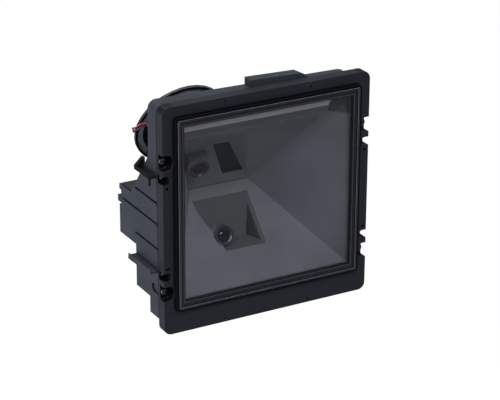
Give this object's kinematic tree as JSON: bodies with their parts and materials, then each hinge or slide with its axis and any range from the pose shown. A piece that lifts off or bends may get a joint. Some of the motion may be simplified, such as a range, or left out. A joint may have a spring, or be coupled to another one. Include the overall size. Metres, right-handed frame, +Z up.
{
  "type": "fixed barcode reader",
  "caption": "Fixed barcode reader for building in behind a panel: square window in a raised rim, screw flange, light funnel with two cameras, stepped housing and a speaker at the back.",
  "frame": {"origin": "middle of the flange's lower margin on its front face, below the window: the face that lies against the panel", "axes": "X to the right as somebody in front of the window sees it, Y into the reader, Z up"},
  "size_m": [0.1533, 0.0677, 0.1555],
  "materials": {
    "black_abs": "fine spark-eroded texture, satin black",
    "funnel_black": "dark grey, dull",
    "tinted_glass": "smoked, polished",
    "black_foam": "closed-cell foam",
    "black_tape": "adhesive tape",
    "milky_plastic": "milky diffuser",
    "board_green": "green solder mask",
    "chip_black": "moulded chip package",
    "zinc_steel": "zinc plated",
    "black_anodised": "black anodised",
    "lens_glass": "coated lens",
    "led_white": "LED package",
    "socket_black": "moulded black",
    "speaker_steel": "black painted steel",
    "speaker_paper": "pressed paper cone",
    "magnet_grey": "sintered ferrite in a steel cup",
    "red_vinyl": "red wire insulation",
    "black_vinyl": "black wire insulation",
    "white_nylon": "natural nylon"
  },
  "bodies": {
    "root": {"big_screw_left_lower": "zinc_steel", "big_screw_left_upper": "zinc_steel", "big_screw_right_lower": "zinc_steel", "big_screw_right_upper": "zinc_steel", "black_lead": "black_vinyl", "cover_screw_1": "zinc_steel", "cover_screw_2": "zinc_steel", "cover_screw_3": "zinc_steel", "cover_screw_4": "zinc_steel", "front_frame": "black_abs", "interface_socket": "socket_black", "led_1": "led_white", "led_2": "led_white", "led_3": "led_white", "led_4": "led_white", "led_board": "board_green", "light_carrier": "funnel_black", "light_diffuser": "milky_plastic", "light_funnel": "funnel_black", "lower_camera_board": "board_green", "lower_front_lens": "lens_glass", "lower_image_sensor": "chip_black", "lower_lens_barrel": "black_anodised", "lower_lens_holder": "socket_black", "main_board": "board_green", "main_housing": "black_abs", "memory_chip": "chip_black", "panel_gasket": "black_foam", "processor_chip": "chip_black", "rear_cover": "black_abs", "red_lead": "red_vinyl", "small_screw_left_lower": "zinc_steel", "small_screw_left_upper": "zinc_steel", "small_screw_right_lower": "zinc_steel", "small_screw_right_upper": "zinc_steel", "speaker_basket": "speaker_steel", "speaker_cone": "speaker_paper", "speaker_gasket": "black_foam", "speaker_magnet": "magnet_grey", "speaker_plug": "white_nylon", "speaker_screw_1": "zinc_steel", "speaker_screw_2": "zinc_steel", "upper_camera_board": "board_green", "upper_front_lens": "lens_glass", "upper_image_sensor": "chip_black", "upper_lens_barrel": "black_anodised", "upper_lens_holder": "socket_black", "window_panel": "tinted_glass", "window_tape": "black_tape"}
  },
  "joints": []
}
